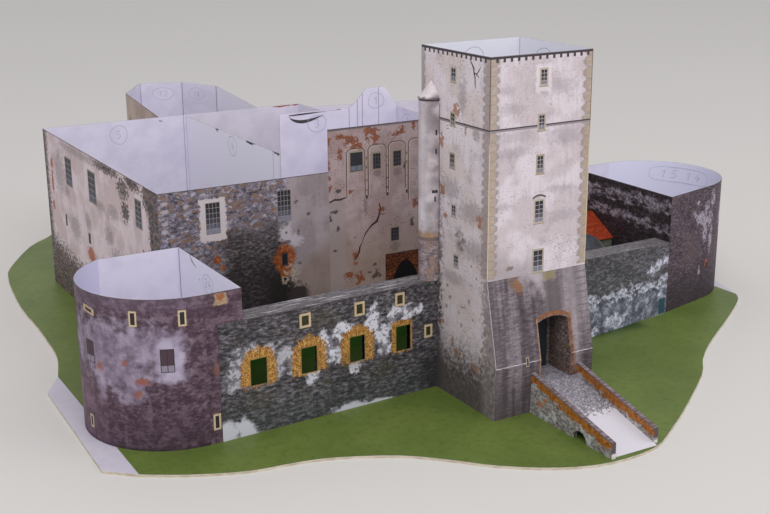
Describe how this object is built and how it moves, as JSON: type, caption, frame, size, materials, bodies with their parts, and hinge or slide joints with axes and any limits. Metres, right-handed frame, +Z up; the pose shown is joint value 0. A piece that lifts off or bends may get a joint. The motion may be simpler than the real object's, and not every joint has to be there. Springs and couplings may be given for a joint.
{
  "type": "card model of a castle keep and its ranges",
  "caption": "Paper card model of a castle on a board: a square gate keep with a ramp bridge, curtain walls, round towers and open ranges.",
  "frame": {"origin": "underside of the board, below the middle of the keep", "axes": "+Z up, +X along the keep's front from left to right, +Y from the gate into the courtyard"},
  "size_m": [0.5246, 0.7015, 0.2098],
  "materials": {
    "board": "satin",
    "ground_print": "satin",
    "keep_print": "satin",
    "gate_print": "satin",
    "bridge_print": "satin",
    "curtain_print": "satin",
    "bastion_print": "satin",
    "rear_tower_print": "satin",
    "palace_print": "satin",
    "hall_print": "satin",
    "chapel_print": "satin",
    "house_print": "satin",
    "roof_print": "satin"
  },
  "bodies": {
    "root": {"base_board": "board", "ground_sheet": "ground_print", "keep_front_wall": "keep_print", "keep_left_wall": "keep_print", "keep_right_wall": "keep_print", "keep_rear_wall": "keep_print", "keep_batter": "keep_print", "turret_shaft": "keep_print", "turret_cap": "keep_print", "gate_side_walls": "gate_print", "gate_vault": "gate_print", "gate_back_wall": "gate_print", "gate_floor": "gate_print", "bridge_deck": "bridge_print", "bridge_left_parapet": "bridge_print", "bridge_right_parapet": "bridge_print", "left_curtain_front": "curtain_print", "left_curtain_walk": "curtain_print", "left_curtain_back": "curtain_print", "right_curtain_front": "curtain_print", "right_curtain_walk": "curtain_print", "right_curtain_back": "curtain_print", "bastion_front_flank": "bastion_print", "bastion_flat_wall": "bastion_print", "bastion_rear_wall": "bastion_print", "bastion_round_wall": "bastion_print", "rear_tower_flat_wall": "rear_tower_print", "rear_tower_front_flank": "rear_tower_print", "rear_tower_rear_flank": "rear_tower_print", "rear_tower_round_wall": "rear_tower_print", "palace_front_wall": "palace_print", "palace_left_wall": "palace_print", "palace_rear_wall": "palace_print", "palace_court_wall": "palace_print", "rear_range_end_wall": "palace_print", "hall_facade": "hall_print", "hall_side_wall": "hall_print", "hall_rear_wall": "hall_print", "east_rear_wall": "hall_print", "east_end_wall": "hall_print", "chapel_left_wall": "chapel_print", "chapel_apse": "chapel_print", "chapel_right_wall": "chapel_print", "court_house_walls": "house_print", "court_house_roof": "roof_print"}
  },
  "joints": []
}
